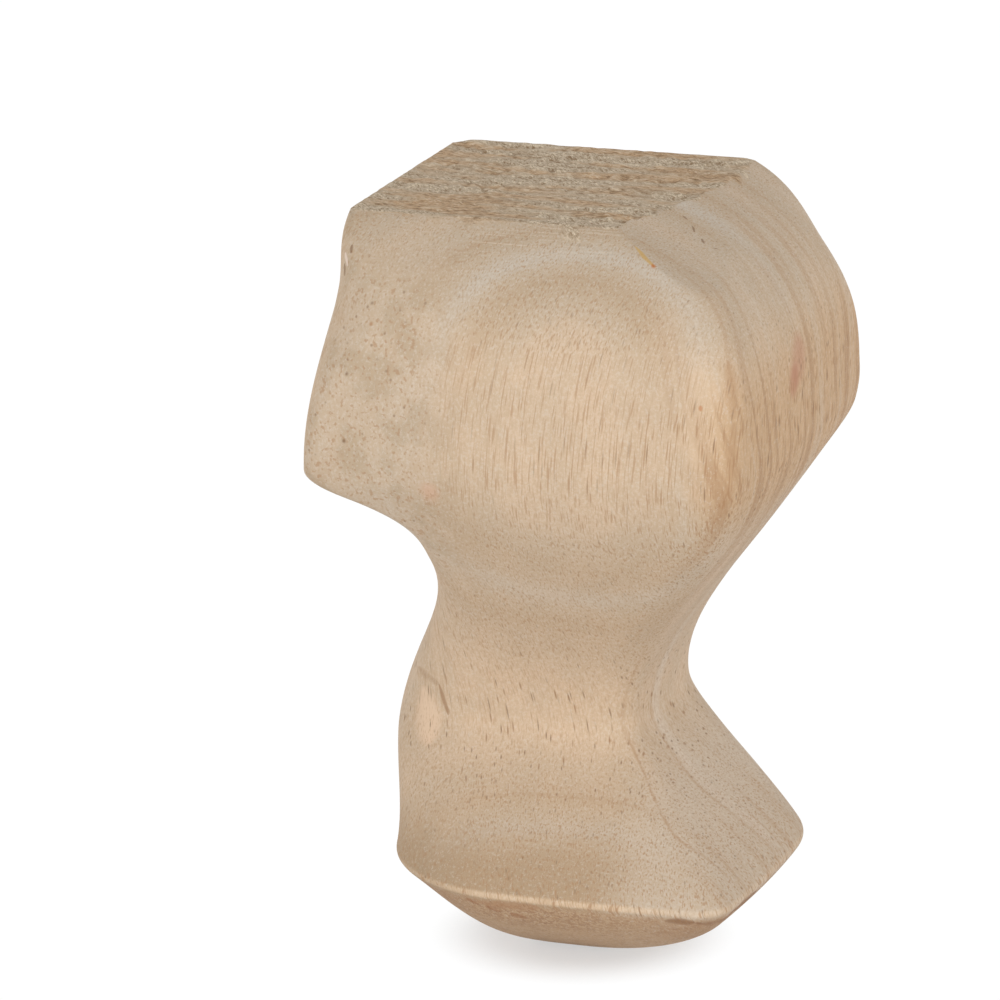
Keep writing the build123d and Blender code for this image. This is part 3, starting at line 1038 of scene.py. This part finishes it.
def marked(wood, color, point, marks):
    """Soft lines and spots over a colour, with their edges frayed a little by noise."""
    fray = wood.noise(point, **FRAY_NOISE)
    fray = wood.vector_math("MULTIPLY_ADD", fray, (FRAY_REACH,) * 3, (-FRAY_REACH / 2,) * 3)
    frayed = wood.vector_math("ADD", point, fray)
    for start, end, width, mark_color, strength in marks:
        color = wood.mix(wood.streak(frayed, start, end, width, strength), color, mark_color)
    return color


def torn_wood(wood, x, y, z):
    """The torn top's colour and fine relief: rows of long strands, and rows of short tufts between them.

    The raised strands get a painted highlight, and the gaps and saw lines painted shade.
    """
    slant = y + x * SAW_SLANT
    across = slant + wood.noise((x, slant, STEADY), **SWAY_NOISE) * SWAY_REACH
    rows = wood.noise((x, across, STEADY), **ROW_NOISE)
    rough = wood.rise(rows, ROUGH_ROWS)
    strands = wood.noise((x, across, z), **STRAND_NOISE)
    tufts = wood.noise((x + slant * TUFT_LEAN, across, z), **TUFT_NOISE)
    height = strands * (1 - rough) + tufts * rough
    shown = height * (1 - TUFT_SHARE) + wood.attribute("tuft") * TUFT_SHARE
    saw_lines = wood.rise(wood.noise((x, across, STEADY), **SAW_LINE_NOISE), SAW_LINE_SEEN)
    color = wood.mix(wood.rise(rows, PLAIN_ROWS) * PLAIN_ROW_SHARE, TORN_PATCH, TORN_BASE)
    # painted shade in the saw's furrows
    color = wood.mix(saw_lines * SAW_LINE_SHADE_SHARE, color, TORN_SHADE)
    highlight_share = total_share(STRAND_HIGHLIGHT_SHARES, (rough,))
    # painted highlight on the raised strands
    color = wood.mix(wood.rise(shown, STRAND_SEEN) * highlight_share, color, TORN_STRAND_HIGHLIGHT)
    # painted shade in the gaps between the strands
    return wood.mix(wood.fall(shown, GAP_SEEN) * GAP_SHADE_SHARE, color, TORN_SHADE), height


# Studio: the world's light, the floor in metres, and its lit place near the leg in millimetres
WHITE = (1.0, 1.0, 1.0, 1.0)
WORLD_LIGHT = 0.5
FLOOR_REACH = 3.0
FLOOR_GREY = (0.9, 0.9, 0.9, 1.0)
FLOOR_OWN_WHITE = 1.02
FLOOR_NEAR_SHARE = 0.5
FLOOR_NEAR = (10.0, 22.0)

# Square lamps that face the leg: name, place in metres and power in watts
LAMP_SIZE = 1.2
LAMPS = [
    ("key_lamp", (-0.35, -1.55, 0.6), 13.0),
    ("fill_lamp", (1.5, -0.5, 0.5), 10.6),
    ("back_lamp", (-0.7, 1.5, 0.3), 6.0),
]


def seen_directly(nodes):
    """1 for what the camera sees, also in a mirror or through glass, and 0 for light on its way."""
    rays = ("Is Camera Ray", "Is Glossy Ray", "Is Transmission Ray")
    camera, glossy, through = [nodes.node("ShaderNodeLightPath", {}, {}, ray) for ray in rays]
    return camera + glossy + through


def studio_floor():
    """A white floor that keeps the leg's shadow: it is lit near the leg, and its own white further off."""
    mesh = bpy.data.meshes.new("floor")
    reach = FLOOR_REACH
    corners = [(-reach, -reach, 0.0), (reach, -reach, 0.0), (reach, reach, 0.0), (-reach, reach, 0.0)]
    mesh.from_pydata(corners, [], [(0, 1, 2, 3)])
    floor = bpy.data.objects.new("floor", mesh)
    bpy.context.scene.collection.objects.link(floor)
    material = bpy.data.materials.new("white_floor")
    material.use_nodes = True
    ground = Nodes(material.node_tree)
    distance = ground.vector_math("LENGTH", ground.place(), output="Value")
    share = FLOOR_NEAR_SHARE + ground.rise(distance, FLOOR_NEAR) * (1 - FLOOR_NEAR_SHARE)
    lit = ground.node("ShaderNodeBsdfDiffuse", {}, {"Color": FLOOR_GREY})
    own = ground.node("ShaderNodeEmission", {}, {"Color": WHITE, "Strength": FLOOR_OWN_WHITE})
    blend = ground.node("ShaderNodeMixShader", {}, {0: seen_directly(ground) * share, 1: lit, 2: own})
    ground.node("ShaderNodeOutputMaterial", {}, {"Surface": blend})
    mesh.materials.append(material)


def studio_world():
    """Soft white light all round, and plain white where the camera sees past the floor."""
    world = bpy.data.worlds.new("studio")
    bpy.context.scene.world = world
    world.use_nodes = True
    sky = Nodes(world.node_tree)
    light = sky.node("ShaderNodeBackground", {}, {"Color": WHITE, "Strength": WORLD_LIGHT})
    white = sky.node("ShaderNodeBackground", {}, {"Color": WHITE, "Strength": 1.0})
    blend = sky.node("ShaderNodeMixShader", {}, {0: seen_directly(sky), 1: light, 2: white})
    sky.node("ShaderNodeOutputWorld", {}, {"Surface": blend})


def soft_lamp(name, place, power):
    """A square lamp that faces the middle of the leg."""
    data = bpy.data.lights.new(name, "AREA")
    data.size = LAMP_SIZE
    data.energy = power
    lamp = bpy.data.objects.new(name, data)
    lamp.location = place
    lamp.rotation_euler = (Vector(place) - POST_MIDDLE).to_track_quat("Z", "Y").to_euler()
    bpy.context.scene.collection.objects.link(lamp)


def picture_camera():
    """A long lens at the photograph's angle, turned so that the post's middle lands where it is there."""
    sin_a, cos_a = math.sin(CAMERA_AZIMUTH), math.cos(CAMERA_AZIMUTH)
    sin_e, cos_e = math.sin(CAMERA_ELEVATION), math.cos(CAMERA_ELEVATION)
    back = Vector((sin_a * cos_e, -cos_a * cos_e, sin_e))
    right = Vector((cos_a, sin_a, 0.0))
    up = back.cross(right)
    eye = POST_MIDDLE + back * CAMERA_DISTANCE
    pixel = CAMERA_DISTANCE / FOCAL_PIXELS
    to_right = PICTURE_WIDTH / 2 - POST_MIDDLE_PIXELS[0]
    to_top = POST_MIDDLE_PIXELS[1] - PICTURE_WIDTH / 2
    aim = POST_MIDDLE + right * (to_right * pixel) + up * (to_top * pixel)
    look = (eye - aim).to_track_quat("Z", "Y").to_matrix().to_4x4()
    data = bpy.data.cameras.new("picture_camera")
    data.sensor_width = SENSOR_WIDTH
    data.lens = FOCAL_PIXELS / PICTURE_WIDTH * SENSOR_WIDTH
    data.clip_start = CAMERA_NEAREST
    camera = bpy.data.objects.new("picture_camera", data)
    camera.matrix_world = Matrix.Translation(eye) @ look @ Matrix.Rotation(CAMERA_ROLL, 4, "Z")
    bpy.context.scene.collection.objects.link(camera)
    bpy.context.scene.camera = camera


leg = carved_leg()
leg.data.materials.append(rubber_wood())
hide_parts("leg")
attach(leg, "root")

bpy.context.scene.view_settings.view_transform = "Standard"
studio_floor()
studio_world()
for lamp in LAMPS:
    soft_lamp(*lamp)
picture_camera()
